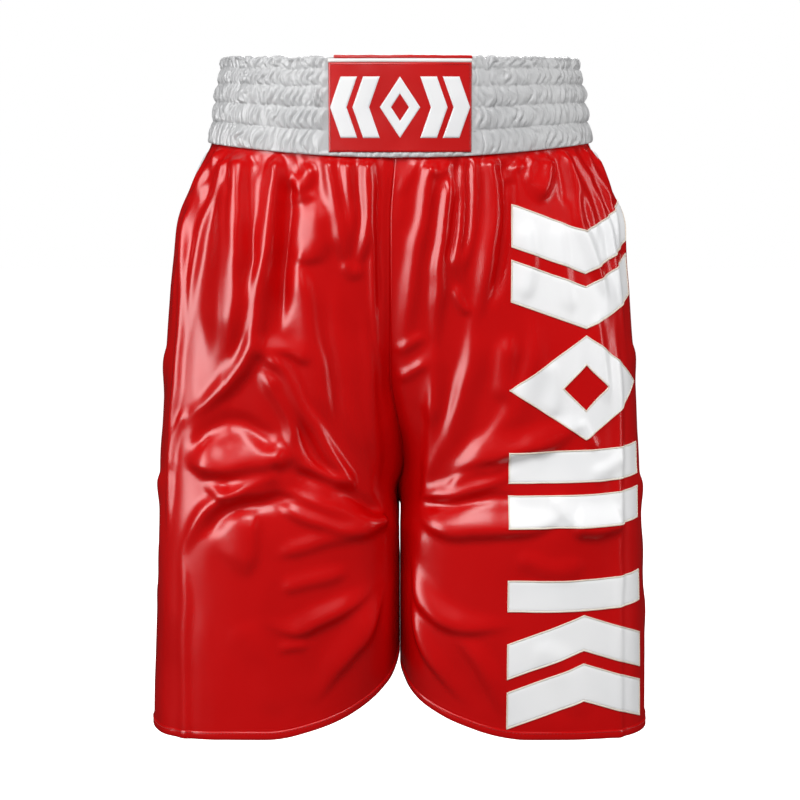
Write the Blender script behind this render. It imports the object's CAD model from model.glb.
"""Boxing shorts in glossy red satin: ruched white waistband, flat front patch, applied white shapes.

Lengths inside the script are millimetres in the frame's axes, and MM turns them into metres. The front
faces -Y, +X is the wearer's left and z = 0 is the waistband's top rim. The cloth of each half is first
laid out as a smooth skin (q = distance round the leg, z = height), folds are pressed into that skin, and
every panel, hem, stripe, applied shape and stitch is then sampled from it.
"""

import math

import bpy
import numpy as np
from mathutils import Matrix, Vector


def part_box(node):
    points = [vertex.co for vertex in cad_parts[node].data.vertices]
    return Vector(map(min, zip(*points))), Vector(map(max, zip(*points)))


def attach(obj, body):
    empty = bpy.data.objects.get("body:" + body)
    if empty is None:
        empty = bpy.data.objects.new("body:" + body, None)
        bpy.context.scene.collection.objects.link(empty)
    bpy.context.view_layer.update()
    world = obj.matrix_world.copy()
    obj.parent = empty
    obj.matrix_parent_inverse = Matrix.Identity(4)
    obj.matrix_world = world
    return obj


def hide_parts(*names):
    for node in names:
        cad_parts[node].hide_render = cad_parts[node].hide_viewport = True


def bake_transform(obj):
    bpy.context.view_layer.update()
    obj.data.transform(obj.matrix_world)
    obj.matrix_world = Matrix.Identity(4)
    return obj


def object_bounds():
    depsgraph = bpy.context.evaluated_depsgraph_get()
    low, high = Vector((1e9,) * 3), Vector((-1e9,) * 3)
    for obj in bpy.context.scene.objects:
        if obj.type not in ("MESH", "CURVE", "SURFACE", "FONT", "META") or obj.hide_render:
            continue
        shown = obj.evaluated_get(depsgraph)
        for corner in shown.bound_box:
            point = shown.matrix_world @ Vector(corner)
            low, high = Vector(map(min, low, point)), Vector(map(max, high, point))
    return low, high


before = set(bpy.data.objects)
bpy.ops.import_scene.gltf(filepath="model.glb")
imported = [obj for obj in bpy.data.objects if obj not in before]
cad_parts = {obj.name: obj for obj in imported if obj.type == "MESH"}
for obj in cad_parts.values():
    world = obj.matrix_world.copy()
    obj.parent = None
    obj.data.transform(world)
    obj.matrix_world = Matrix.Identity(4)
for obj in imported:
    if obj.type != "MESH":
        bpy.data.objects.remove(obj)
CAD_BOX = [list(corner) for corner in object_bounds()]
MM = 0.001

# ---- driving sizes, mm ----------------------------------------------------------------------
BAND_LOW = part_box("waistband_casing")[0][2] / MM  # waist seam at the front centre
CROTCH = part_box("front_panel_left_upper")[0][2] / MM
HEM_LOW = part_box("hem_front_left")[0][2] / MM
BAND_ROWS = 5
SEAM_RISE = 11.0  # the waist seam is this much higher at the sides
REF_X = 115.0  # q equals the distance off the centre plane here, on the flat of the leg
LEFT, RIGHT = 1, -1  # wearer's sides
LEGS_APART = 1.3  # nearer the centre plane than this, a raised stitch would reach the other leg

# each table has rows of (height, value)
HALF_WIDTH = [(0, 158), (-60, 168), (-74, 171.5), (-83, 175.5), (-90, 179), (-99, 184), (-109, 189),
              (-118, 193), (-132, 199.5), (-146, 204), (-174, 207), (-202, 211), (-231, 213.5), (-288, 218),
              (-346, 221.5), (-404, 225), (-462, 227.5), (-530, 231), (-640, 234.5)]
FRONT_DEPTH = [(0, 103), (-84, 109), (-100, 114), (-150, 118), (-300, 114), (-415, 107), (-640, 103)]
BACK_DEPTH = [(0, 103), (-84, 109), (-100, 114), (-150, 122), (-250, 130), (-350, 125), (-415, 115),
              (-640, 106)]
INNER_X = [(-88, 0), (-400, 0.8), (-425, 1.1), (-450, 0.9), (-470, 0.3), (-560, 0.3), (-590, 2.0),
           (-620, 6), (-640, 8)]  # the inseam's distance from the centre plane
FRONT_SPLIT = [(-88, 0), (-150, 0.05), (-250, 0.18), (-330, 0.38), (-385, 0.7), (-418, 1)]
CENTRE_X = [(-84, -4), (-130, -8.5), (-290, -8.5), (-345, 2), (-370, 4), (-392, -3.5), (-412, 0),
            (-420, 0)]  # where the front seam wanders
BACK_SPLIT = [(-88, 0), (-150, 0.06), (-250, 0.16), (-330, 0.4), (-380, 0.72), (-415, 1)]


# ---- small maths ----------------------------------------------------------------------------
def rounded(edge, radius):
    """A round edge's height, 0 to 1, at a distance in from the edge."""
    return np.sqrt(np.clip(1 - (1 - np.clip(edge / radius, 0, 1)) ** 2, 0, 1))


def smooth(t):
    t = np.clip(t, 0.0, 1.0)
    return t * t * (3 - 2 * t)


def ramp(x, low, high):
    return smooth((x - low) / (high - low))


def table(rows, blur=9.0):
    """A smooth function of height from a few (z, value) rows."""
    z = np.arange(-700.0, 61.0)
    rows = sorted(rows)
    v = np.interp(z, [r[0] for r in rows], [r[1] for r in rows])
    k = np.exp(-0.5 * (np.arange(-40, 41) / blur) ** 2)
    v = np.convolve(np.pad(v, 40, mode="edge"), k / k.sum(), mode="valid")
    return lambda at: np.interp(at, z, v)


half_width, front_depth, back_depth = table(HALF_WIDTH, 6), table(FRONT_DEPTH), table(BACK_DEPTH)
inner_x, front_split, back_split = table(INNER_X), table(FRONT_SPLIT), table(BACK_SPLIT)
centre_x = table(CENTRE_X, 7)


def power(c, n):
    return np.sign(c) * np.abs(c) ** (2.0 / n)


def noise1(x, seed, octaves=3):
    """Smooth 1-D value noise, about -1 to 1."""
    total = np.zeros_like(np.asarray(x, float))
    for o in range(octaves):
        grid = np.random.default_rng(seed + 31 * o).uniform(-1, 1, 512)
        f = np.asarray(x, float) * 2**o
        i = np.floor(f).astype(int)
        t = smooth(f - i)
        total += (grid[i % 512] * (1 - t) + grid[(i + 1) % 512] * t) * 0.5**o
    return total


def noise2(x, y, seed, octaves=2):
    """Smooth 2-D value noise, about -1 to 1."""
    total = np.zeros(np.broadcast(x, y).shape)
    for o in range(octaves):
        grid = np.random.default_rng(seed + 17 * o).uniform(-1, 1, (256, 256))
        fx, fy = x * 2**o + 7.3 * o, y * 2**o + 3.1 * o
        i, j = np.floor(fx).astype(int), np.floor(fy).astype(int)
        u, v = smooth(fx - i), smooth(fy - j)
        a, b = grid[i % 256, j % 256], grid[(i + 1) % 256, j % 256]
        c, d = grid[i % 256, (j + 1) % 256], grid[(i + 1) % 256, (j + 1) % 256]
        total += ((a * (1 - u) + b * u) * (1 - v) + (c * (1 - u) + d * u) * v) * 0.5**o
    return total


def curve_through(points, steps=7):
    """Catmull-Rom points through a short list of (q, z)."""
    p = np.array(points, float)
    if len(p) == 2:
        return p
    ends = np.vstack([2 * p[0] - p[1], p, 2 * p[-1] - p[-2]])
    out = []
    for i in range(len(p) - 1):
        a, b, c, d = ends[i : i + 4]
        for t in np.linspace(0, 1, steps, endpoint=False):
            square, cube = 2 * a - 5 * b + 4 * c - d, 3 * b - a - 3 * c + d
            out.append(0.5 * (2 * b + (c - a) * t + square * t**2 + cube * t**3))
    return np.array(out + [p[-1]])


# ---- the skin -------------------------------------------------------------------------------
STEP = 1.5
Z_GRID = np.arange(-645.0, -60.0, STEP)
Q_GRID = np.arange(-100.0, 330.0, STEP)


def outline(front, u, z):
    """Half of the garment's outline at height z. u is 0 at the front or back centre, 1 at the outseam."""
    a = half_width(z)
    b = front_depth(z) if front else back_depth(z)
    n = 2.1 + 0.75 * ramp(-z, 88, 300)
    # the inner half is boxier by the crotch and rounder at the hem
    n_inner = n + 1.0 * ramp(-z, 250, 400) - 1.1 * ramp(-z, 500, 600)
    torso = a * power(np.sin(np.pi * u / 2), n), b * power(np.cos(np.pi * u / 2), n)
    inner = inner_x(z)
    half = (a - inner) / 2
    m = np.where(u < 0.5, n_inner, n)
    leg = inner + half - half * power(np.cos(np.pi * u), m), b * power(np.sin(np.pi * u), m)
    w = front_split(z)
    if not front:
        w = back_split(z) + (w - back_split(z)) * ramp(u, 0.75, 1.0)
    y = torso[1] + (leg[1] - torso[1]) * w
    return torso[0] + (leg[0] - torso[0]) * w, -y if front else y


class Skin:
    """The cloth of one quarter: points and normals on a (z, q) grid, with its folds pressed in."""

    def __init__(self, side, front, folds):
        self.side, self.front = side, front
        u = np.linspace(0, 1, 1601)
        u = 0.5 * u + 0.25 * (1 - np.cos(np.pi * u))
        X, Y = np.zeros((len(Z_GRID), len(Q_GRID))), np.zeros((len(Z_GRID), len(Q_GRID)))
        self.low_q, self.high_q = np.zeros(len(Z_GRID)), np.zeros(len(Z_GRID))
        for k, z in enumerate(Z_GRID):
            x, y = outline(front, u, z)
            arc = np.concatenate([[0], np.cumsum(np.hypot(np.diff(x), np.diff(y)))])
            arc += REF_X - np.interp(REF_X, x, arc)
            self.low_q[k], self.high_q[k] = arc[0], arc[-1]
            X[k], Y[k] = np.interp(Q_GRID, arc, x), np.interp(Q_GRID, arc, y)
            over = np.clip(Q_GRID - arc[-1], 0, None)  # carry on past the outseam, straight back
            Y[k] += over if front else -over
            short = np.clip(arc[0] - Q_GRID, 0, None)  # and past the centre or the inseam
            way = np.array([x[0] - x[12], y[0] - y[12]]) / np.hypot(x[0] - x[12], y[0] - y[12])
            X[k] += short * way[0]
            Y[k] += short * way[1]
        Z = np.repeat(Z_GRID[:, None], len(Q_GRID), 1)
        self.P = np.stack([side * X, Y, Z], 2)
        self.N = self.normals()
        q, z = np.meshgrid(Q_GRID, Z_GRID)
        self.height = soften(folds(self, q, z))
        self.P = self.P + self.N * self.height[..., None]
        self.close_centre()
        self.N = self.normals()

    def close_centre(self):
        """Above the crotch the two halves meet on the centre plane."""
        for k, z in enumerate(Z_GRID):
            if z > CROTCH:
                x = np.interp(self.low_q[k], Q_GRID, self.P[k, :, 0])
                near = np.exp(-((np.clip(Q_GRID - self.low_q[k], 0, None) / 7.0) ** 2))
                self.P[k, :, 0] -= x * near * ramp(z, CROTCH, CROTCH + 8)
                if self.front:  # and the front seam wanders with the pull of the folds
                    close = np.exp(-((np.clip(Q_GRID - self.low_q[k], 0, None) / 18.0) ** 2))
                    self.P[k, :, 0] += centre_x(z) * close

    def normals(self):
        dz, dq = np.gradient(self.P, STEP, axis=(0, 1))
        n = np.cross(dq, dz)
        n *= self.side * (1 if self.front else -1)
        return n / np.maximum(np.linalg.norm(n, axis=2, keepdims=True), 1e-9)

    def sample(self, field, q, z):
        i = np.clip((np.asarray(z, float) - Z_GRID[0]) / STEP, 0, len(Z_GRID) - 1.001)
        j = np.clip((np.asarray(q, float) - Q_GRID[0]) / STEP, 0, len(Q_GRID) - 1.001)
        a, b = i.astype(int), j.astype(int)
        s, t = (i - a)[..., None], (j - b)[..., None]
        return ((field[a, b] * (1 - t) + field[a, b + 1] * t) * (1 - s)
                + (field[a + 1, b] * (1 - t) + field[a + 1, b + 1] * t) * s)

    def at(self, q, z, off=0.0):
        """Points at (q, z), moved off along the normal."""
        p, n = self.sample(self.P, q, z), self.sample(self.N, q, z)
        n /= np.maximum(np.linalg.norm(n, axis=-1, keepdims=True), 1e-9)
        p = p + n * np.asarray(off)[..., None]
        middle = centre_x(np.asarray(z, float)) if self.front else 0.0
        p[..., 0] = middle + self.side * np.maximum(self.side * (p[..., 0] - middle), 0.02)
        return p

    def limits(self, z):
        return np.interp(z, Z_GRID, self.low_q), np.interp(z, Z_GRID, self.high_q)


def seam_z(q):
    """The waist seam's height, rising towards the sides."""
    return BAND_LOW - 0.3 + SEAM_RISE * ramp(q, 15, 220)


def hem_z(s, side, front):
    """The hem's height; s is 0 at the inseam and 1 at the outseam."""
    mid = HEM_LOW + (8 if front else 6)
    rise, run, bow = (95, 0.50, 1.65) if side == RIGHT else (68, 0.48, 1.5)
    # level again round the inside of the leg
    s_in = 0.09 + 0.5 * (s - 0.09 + np.sqrt((s - 0.09) ** 2 + 0.0009))
    return mid + rise * np.clip(1 - s_in / run, 0, 1) ** bow - (8 if front else 6) * smooth((s - 0.55) / 0.45)


# ---- folds ----------------------------------------------------------------------------------
def press(height, q, z, points, rise, reach, ends=(0.15, 0.2), sharp=0.0):
    """Presses one fold into the height map, along a curve.

    reach is how far each flank runs: first on the right hand of someone walking along the curve (with q to
    the right and z up), then on the left. The short flank is the steep one. ends are the shares of the
    length over which the fold rises and dies away."""
    line = curve_through(points)
    reach = [max(r, 1.15 * abs(rise)) for r in reach]
    far = max(reach) + 1
    box = ((q > line[:, 0].min() - far) & (q < line[:, 0].max() + far)
           & (z > line[:, 1].min() - far) & (z < line[:, 1].max() + far))
    if not box.any():
        return
    x, y = q[box], z[box]
    best, signed, along = np.full(x.shape, 1e9), np.zeros(x.shape), np.zeros(x.shape)
    lengths = np.hypot(*np.diff(line, axis=0).T)
    start = np.concatenate([[0], np.cumsum(lengths)])
    for i, l in enumerate(lengths):
        (x0, y0), (x1, y1) = line[i], line[i + 1]
        dx, dy = (x1 - x0) / l, (y1 - y0) / l
        t = np.clip((x - x0) * dx + (y - y0) * dy, 0, l)
        d = np.hypot(x - x0 - t * dx, y - y0 - t * dy)
        side = (x - x0) * dy - (y - y0) * dx
        near = d < best - 1e-6
        best, signed = np.where(near, d, best), np.where(near, side, signed)
        along = np.where(near, start[i] + t, along)
    along /= start[-1]
    right = 0.5 + 0.5 * np.tanh(signed / 1.5)
    taper = ramp(along, -0.02, max(ends[0], 1e-3)) * (1 - ramp(along, 1 - max(ends[1], 1e-3), 1.02))
    width = (reach[1] + (reach[0] - reach[1]) * right) * (0.45 + 0.55 * taper)
    base = np.clip(1 - best / width, 0, 1)
    profile = (1 - sharp) * base * base * (3 - 2 * base) + sharp * base**1.5
    height[box] += rise * profile * taper


# Each fold: points (distance round, z), rise, the two flanks' reaches, then the tapers and the sharpness.
WEARER_RIGHT_FRONT = [
    # the flare under the waist seam and the long ridges down the side
    ([(165, -82), (190, -105), (212, -127), (220, -136)], 4, (6, 12)),
    ([(160, -90), (180, -108), (200, -121)], 2.5, (5, 5)),
    ([(212, -133), (208, -156), (206, -222), (210, -293), (216, -338), (219, -386), (223, -434)
      ], 4.5, (7, 10)),
    ([(197, -310), (210, -337), (214, -367)], 3, (5, 6)),
    # the broad gather and the long ridge that runs from the waist towards the knee side
    ([(137, -83), (137, -121), (138, -165), (142, -199), (148, -234), (155, -260), (161, -280)
      ], 13, (7, 40), (0.06, 0.3)),
    ([(152, -88), (151, -104), (150, -126)], -2, (6, 6)),
    ([(130, -84), (131, -121), (131, -170), (136, -212)], -6, (8, 5), (0.05, 0.3)),
    ([(104, -83), (106, -113), (108, -133), (114, -165), (123, -199), (128, -234), (131, -252),
      (142, -271), (160, -291), (180, -307), (202, -325)], 10.5, (7, 17), (0.05, 0.3)),
    ([(97, -100), (98, -121), (101, -156), (105, -199), (110, -243)], -8, (15, 8), (0.1, 0.3)),
    ([(89, -175), (85, -191), (80, -208), (77, -242), (67, -293), (56, -338)], 6.5, (11, 28), (0.15, 0.3)),
    # small gathers and the hooked fold beside them
    ([(71, -93), (79, -107), (90, -113)], 5.5, (4, 14), (0.1, 0.1)),
    ([(91, -82), (84, -94), (80, -101)], -3.5, (4, 4), (0.05, 0.2)),
    ([(72, -116), (97, -121)], 3, (3, 8)),
    ([(66, -112), (69, -142), (66, -178)], 5.0, (14, 24), (0.4, 0.3)),
    ([(92, -172), (80, -174), (62, -170)], 3.5, (20, 5), (0.15, 0.5)),
    # three fingers of cloth that merge
    ([(55, -83), (54, -121), (48, -165), (42, -186)], 6.5, (4, 13), (0.03, 0.35)),
    ([(40, -83), (41, -121), (42, -170)], 6, (4, 11), (0.03, 0.4)),
    ([(22, -83), (25, -121), (29, -156), (39, -186)], 6.5, (4, 12), (0.03, 0.35)),
    ([(50, -176), (42, -186), (32, -180)], 3, (10, 8)),
    ([(17, -90), (20, -139), (21, -199), (17, -243), (9, -280)], 4, (4, 6)),
    ([(12, -90), (14, -165), (12, -230)], -4, (4, 4)),
    # long soft falls towards the crotch
    ([(58, -188), (52, -256), (38, -330), (14, -402)], 5.5, (20, 13), (0.4, 0.35)),
    ([(30, -204), (27, -270), (19, -340), (8, -396)], 4.5, (12, 12), (0.4, 0.35)),
    # the arch at mid thigh and the two crests that fall from it to the crotch
    ([(130, -258), (114, -255), (97, -256), (80, -263)], 4.5, (17, 6)),
    ([(124, -259), (105, -268), (90, -296), (68, -335), (56, -357), (40, -384)
      ], 7.5, (6, 14), (0.1, 0.1), 0.3),
    ([(125, -271), (110, -287), (94, -314), (91, -338), (82, -356), (46, -378)], 6.5, (6, 13), (0.15, 0.1)),
    ([(116, -276), (88, -318), (72, -350), (49, -376)], -4, (5, 5)),
    # crescents over the outer thigh
    ([(192, -341), (147, -320), (99, -343)], -5, (16, 10)),
    ([(196, -352), (156, -358), (132, -354), (94, -350)], 11.5, (30, 5), (0.25, 0.12)),
    ([(178, -372), (152, -383), (132, -371), (103, -364)], 7, (15, 6), (0.25, 0.12)),
    ([(200, -446), (180, -407), (159, -389), (133, -380), (92, -366)], 7.5, (13, 13), (0.4, 0.3), 0.2),
    ([(178, -424), (159, -401), (133, -389), (89, -384)], -5.5, (8, 13)),
    ([(116, -388), (89, -402), (56, -413), (27, -417), (3, -413)], 5.5, (15, 7), (0.25, 0.05)),
    ([(112, -377), (86, -384), (58, -396), (30, -408), (3, -413)], 4.5, (8, 9), (0.3, 0.05)),
    ([(97, -362), (68, -371), (35, -390), (3, -410)], -6, (8, 8)),
    ([(130, -394), (132, -427), (136, -458)], 5.5, (8, 42), (0.3, 0.35)),
    # the lower leg
    ([(109, -441), (89, -432), (56, -422), (15, -416)], 3.5, (15, 8)),
    ([(104, -472), (80, -461), (44, -455)], 3.2, (13, 8)),
    ([(128, -497), (97, -507), (74, -500), (45, -486), (16, -466)], 7, (20, 8), (0.5, 0.4)),
    ([(110, -523), (81, -518)], 3, (8, 5)),
    ([(84, -578), (45, -530), (27, -508), (10, -470)], 7.5, (26, 9), (0.5, 0.35)),
    ([(150, -500), (120, -540), (110, -590)], 1.5, (24, 24)),
    ([(196, -420), (197, -500), (197, -660)], 3.0, (7, 12), (0.2, 0.001), 0.8),
]
WEARER_LEFT_FRONT = [
    ([(4, -88), (6, -120), (4, -150)], 2.5, (4, 4)),
    ([(14, -84), (9, -102), (4, -116)], 2.5, (4, 4)),
    ([(20, -90), (31, -99), (42, -90)], 3.5, (6, 4)),
    # gathers below the patch
    ([(42, -100), (40, -139), (36, -182), (33, -223), (32, -262)], 7, (9, 6), (0.12, 0.4)),
    ([(25, -88), (22, -139), (17, -182), (12, -223), (8, -262)], 6, (9, 7), (0.06, 0.4)),
    ([(48, -86), (45, -139), (40, -186)], -5, (4, 5), (0.05, 0.3)),
    ([(50, -84), (53, -139), (49, -176), (53, -193)], 6, (6.5, 4), (0.04, 0.25)),
    ([(56, -88), (57, -139), (54, -184)], -5, (3.5, 3.5), (0.05, 0.3)),
    ([(61, -84), (61, -147), (55, -176), (56, -198)], 5.5, (5.5, 4), (0.04, 0.25)),
    ([(77, -84), (81, -133), (78, -176), (70, -212), (60, -240)], 8, (17, 7), (0.05, 0.5)),
    ([(60, -220), (53, -208), (48, -192)], 4.5, (6, 5), (0.1, 0.3)),
    ([(86, -88), (89, -139), (86, -182), (76, -214)], -6.5, (6, 11), (0.08, 0.25)),
    ([(89, -99), (106, -90)], 4, (5, 4)),
    ([(84, -105), (100, -101)], 3, (4, 4)),
    ([(131, -86), (129, -106), (120, -124)], 7.5, (24, 6), (0.08, 0.3)),
    ([(112, -84), (109, -96), (111, -110)], 3.5, (5, 5), (0.05, 0.3)),
    ([(148, -83), (158, -108), (161, -126), (164, -146), (174, -170), (187, -196), (196, -212)
      ], 6, (9, 8), (0.05, 0.25), 0.6),
    ([(140, -84), (147, -102), (149, -126)], -3, (6, 5)),
    ([(170, -82), (178, -98), (184, -112)], 3, (5, 6)),
    ([(200, -86), (206, -108), (212, -128)], 4.5, (15, 8)),
    ([(112, -140), (116, -175), (108, -210)], 3.5, (16, 9)),
    ([(142, -140), (146, -185), (150, -222)], 3, (14, 10)),
    ([(178, -220), (184, -262), (188, -306)], 3, (14, 8)),
    # long soft falls towards the crotch
    ([(66, -200), (62, -262), (42, -330), (10, -396)], 5.5, (13, 22), (0.35, 0.35)),
    ([(28, -262), (27, -318), (18, -366), (6, -402)], 5, (10, 16), (0.35, 0.35)),
    ([(118, -216), (112, -272), (90, -322), (54, -352)], 4.5, (12, 24), (0.35, 0.4)),
    # mid leg
    ([(29, -243), (33, -278), (27, -326)], 4.5, (22, 12), (0.3, 0.3)),
    ([(2, -256), (11, -249), (22, -238)], 4, (6, 6)),
    ([(2, -282), (13, -273), (27, -261)], 4, (6, 6)),
    ([(98, -236), (92, -269), (95, -308)], 5.5, (17, 11), (0.3, 0.3)),
    ([(134, -262), (138, -290), (132, -314)], 2.5, (16, 10)),
    ([(172, -312), (132, -336), (117, -343), (92, -349), (70, -353), (30, -372)], 9, (28, 9), (0.45, 0.35)),
    ([(128, -347), (97, -353), (70, -358)], -4, (5, 5)),
    ([(99, -356), (79, -360), (56, -368), (38, -376)], 4.5, (6, 5), (0.15, 0.2), 0.3),
    ([(110, -364), (62, -380), (35, -385), (6, -390)], 6, (15, 7), (0.45, 0.25)),
    ([(106, -385), (62, -389), (10, -394)], -4, (6, 6)),
    ([(158, -396), (118, -414), (60, -416), (27, -411), (4, -404)], 8, (26, 9), (0.4, 0.25)),
    ([(136, -386), (157, -414)], 3.5, (5, 14), (0.15, 0.2), 0.5),
    ([(156, -415), (180, -416), (206, -411)], 8.5, (5, 28), (0.1, 0.2)),
    ([(161, -316), (174, -346)], 3, (7, 7)),
    ([(170, -366), (190, -360), (204, -350)], 3, (14, 7)),
    # the lower leg
    ([(4, -440), (13, -477), (29, -495), (60, -507), (108, -502)], 7.5, (9, 24), (0.35, 0.5)),
    ([(44, -506), (75, -545), (98, -596)], 5, (9, 18), (0.4, 0.5)),
    ([(3, -470), (13, -514), (30, -541), (66, -584)], 6, (8, 17), (0.35, 0.5)),
    ([(104, -440), (140, -452), (170, -446)], 2.5, (14, 14)),
    ([(120, -520), (150, -545), (168, -590)], 2, (22, 16)),
    ([(203, -215), (203, -400), (204, -660)], 3.2, (13, 6), (0.2, 0.001), 0.8),
]


def gathers(height, q, z, seed, strength=1.0):
    """Small pleats where the cloth is gathered into the waist seam, merging and fading downwards."""
    below = seam_z(q) - z
    for wave, fade, rise in ((10.0, 12.0, 1.4), (18.0, 26.0, 2.4), (33.0, 62.0, 2.6)):
        drift = noise1(q / (wave * 2.7) + 5.0, seed) * 1.1 + noise2(q / 60.0 + 9, z / 45.0, seed + 3) * 0.35
        pleat = np.cos(2 * np.pi * (q / wave + drift))
        amount = 0.55 + 0.45 * noise1(q / (wave * 1.9), seed + 5)
        height += (strength * rise * amount * pleat * np.exp(-np.clip(below, 0, None) / fade)
                   * ramp(below, -2, 5))
        seed += 101


def soft_waves(height, q, z, seed, amount=1.0):
    """Slow unevenness, longer up and down than across."""
    height += amount * 2.2 * noise2(q / 46.0 + 40, z / 120.0 + 20, seed)
    height += amount * 0.7 * noise2(q / 17.0 + 70, z / 60.0 + 30, seed + 1)


def soften(height):
    for _ in range(4):
        for axis in (0, 1):
            pad = np.concatenate([height.take([0], axis), height, height.take([-1], axis)], axis)
            n = height.shape[axis]
            before, here, after = (pad.take(range(k, n + k), axis) for k in range(3))
            height = (before + 2 * here + after) / 4
    return height


def side_folds(skin, q, z):
    """Folds that cross the outseam; e runs from the back half (negative) to the front half."""
    height = np.zeros_like(q)
    e = (skin.limits(z)[1] - q) * (1 if skin.front else -1)
    draw = np.random.default_rng(90 + skin.side)
    for x in np.arange(-78, 80, 17.0):  # gathers under the waistband
        x += draw.uniform(-5, 5)
        lean, wide, steep = draw.uniform(-12, 12), draw.uniform(10, 19), draw.uniform(5, 8)
        reach = (wide, steep) if draw.uniform() < 0.5 else (steep, wide)
        size = draw.uniform(3.0, 6.5) * (0.55 if abs(x) < 14 else 1)
        line = [(x, -76), (x + 0.4 * lean, -110), (x + lean, -draw.uniform(150, 280))]
        press(height, e, z, line, size, reach, (0.05, 0.5))
    for x0, z0, x1, z1, size in ((55, -250, -40, -330, 5), (-60, -290, 30, -385, 4.5),
                                 (60, -370, -35, -440, 5.5), (-55, -410, 35, -470, 5),
                                 (40, -480, -30, -560, 3.5)):
        bend = draw.uniform(-14, 14)
        line = [(x0, z0), ((x0 + x1) / 2 + bend, (z0 + z1) / 2 + 8), (x1, z1)]
        press(height, e, z, line, size, (draw.uniform(9, 14), 24), (0.35, 0.35))
    calm = 0.22 + 0.78 * ramp(np.abs(e), 8, 55)
    return height * calm * ramp(seam_z(q) - z, -1, 8) * ramp(z, HEM_LOW, HEM_LOW + 60)


def warp(q, z, seed):
    """A slight wander, so that no fold runs like a drawn line."""
    across = 2.2 * noise2(q / 38.0 + 20, z / 44.0 + 30, seed)
    up = 2.6 * noise2(q / 36.0 + 60, z / 40.0 + 10, seed + 1)
    return q + across, z + up


def front_folds(skin, q, z):
    height = np.zeros_like(q)
    soft_waves(height, q, z, 5 + skin.side, 0.5)
    gathers(height, q, z, 40 + skin.side, 0.75)
    q_warped, z_warped = warp(q, z, 210 + skin.side)
    for fold in WEARER_LEFT_FRONT if skin.side == LEFT else WEARER_RIGHT_FRONT:
        press(height, q_warped, z_warped, *fold)
    return fade_to_edges(skin, height, q, z)


def back_folds(skin, q, z):
    height = np.zeros_like(q)
    seed = 60 + skin.side
    soft_waves(height, q, z, seed, 1.0)
    gathers(height, q, z, seed + 9, 1.0)
    q, z = warp(q, z, seed + 30)
    draw = np.random.default_rng(seed)
    for x in np.arange(22, 225, 21.0):  # long gathers falling from the waist seam
        x += draw.uniform(-7, 7)
        end = -draw.uniform(170, 330)
        lean = draw.uniform(-16, 16)
        wide, steep = draw.uniform(14, 26), draw.uniform(5, 9)
        press(height, q, z, [(x, -82), (x + 0.3 * lean, -130), (x + lean, end)], draw.uniform(5, 10),
              (wide, steep) if draw.uniform() < 0.6 else (steep, wide), ends=(0.05, 0.45))
    drags = ((-330, 190), (-365, 215), (-400, 205), (-432, 180), (-470, 165), (-510, 150))
    for k, (z0, reach) in enumerate(drags):  # drag lines from the crotch round the thigh
        sag = 16 - 6 * k
        line = [(12, CROTCH + 14 - 9 * k), (60, (z0 + CROTCH) / 2 - sag), (reach - 60, z0 + 6),
                (reach, z0 + 14)]
        press(height, q, z, line, 9 - 0.8 * k, (6 + k, 18 + 2 * k), (0.25, 0.35))
    press(height, q, z, [(60, -548), (110, -512), (170, -488)], 6, (7, 20), ends=(0.3, 0.4))
    press(height, q, z, [(18, -560), (60, -526), (95, -470)], 7, (7, 20), ends=(0.2, 0.4))
    press(height, q, z, [(203, -300), (203, -420), (204, -660)], 3, (12, 6), sharp=0.8, ends=(0.3, 0.001))
    return fade_to_edges(skin, height, q, z)


def fade_to_edges(skin, height, q, z):
    """Folds die out at the waist seam, the outseam and the centre seam, where the panels are sewn."""
    low, high = skin.limits(z)
    height = height * ramp(seam_z(q) - z, -1, 8) * (1 - ramp(q, high - 30, high)) + side_folds(skin, q, z)
    seam = np.clip(q - low, 0, None)
    inside = np.where(z > CROTCH - 50, 0.3 + 0.7 * ramp(seam, 0, 16), ramp(seam, 0, 26))
    dip = (2.0 + 5.0 * ramp(-z, 160, 340)) * np.exp(-((seam / 6.5) ** 2)) * ramp(z, CROTCH - 50, CROTCH)
    return height * inside * ramp(seam, 0, 6) - dip


SKINS = {(side, front): Skin(side, front, front_folds if front else back_folds)
         for side in (LEFT, RIGHT) for front in (True, False)}
SIDE_NAME = {LEFT: "left", RIGHT: "right"}


# ---- mesh helpers ---------------------------------------------------------------------------
def new_mesh(name, verts, faces, material, uv=None):
    mesh = bpy.data.meshes.new(name)
    mesh.from_pydata((np.asarray(verts) * MM).tolist(), [], [list(map(int, f)) for f in faces])
    mesh.update()
    mesh.polygons.foreach_set("use_smooth", [True] * len(mesh.polygons))
    if uv is not None:
        layer = mesh.uv_layers.new(name="UVMap")
        loops = np.zeros(len(mesh.loops), int)
        mesh.loops.foreach_get("vertex_index", loops)
        layer.data.foreach_set("uv", np.asarray(uv, float)[loops].ravel())
    obj = bpy.data.objects.new(name, mesh)
    bpy.context.scene.collection.objects.link(obj)
    mesh.materials.append(material)
    return obj


def grid_faces(rows, columns, offset=0, flip=False, closed=False):
    r, c = np.meshgrid(np.arange(rows - 1), np.arange(columns if closed else columns - 1), indexing="ij")
    n = (c + 1) % columns
    a, b, d, e = (offset + r * columns + c, offset + r * columns + n, offset + (r + 1) * columns + n,
                  offset + (r + 1) * columns + c)
    quads = np.stack([a, e, d, b] if flip else [a, b, d, e], -1)
    return quads.reshape(-1, 4)


def ring_faces(rows, columns, closed=True):
    """Quads over a grid of points whose rows run in a ring, and its columns too if closed."""
    return grid_faces(rows + 1, columns, closed=closed) % (rows * columns)


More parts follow.
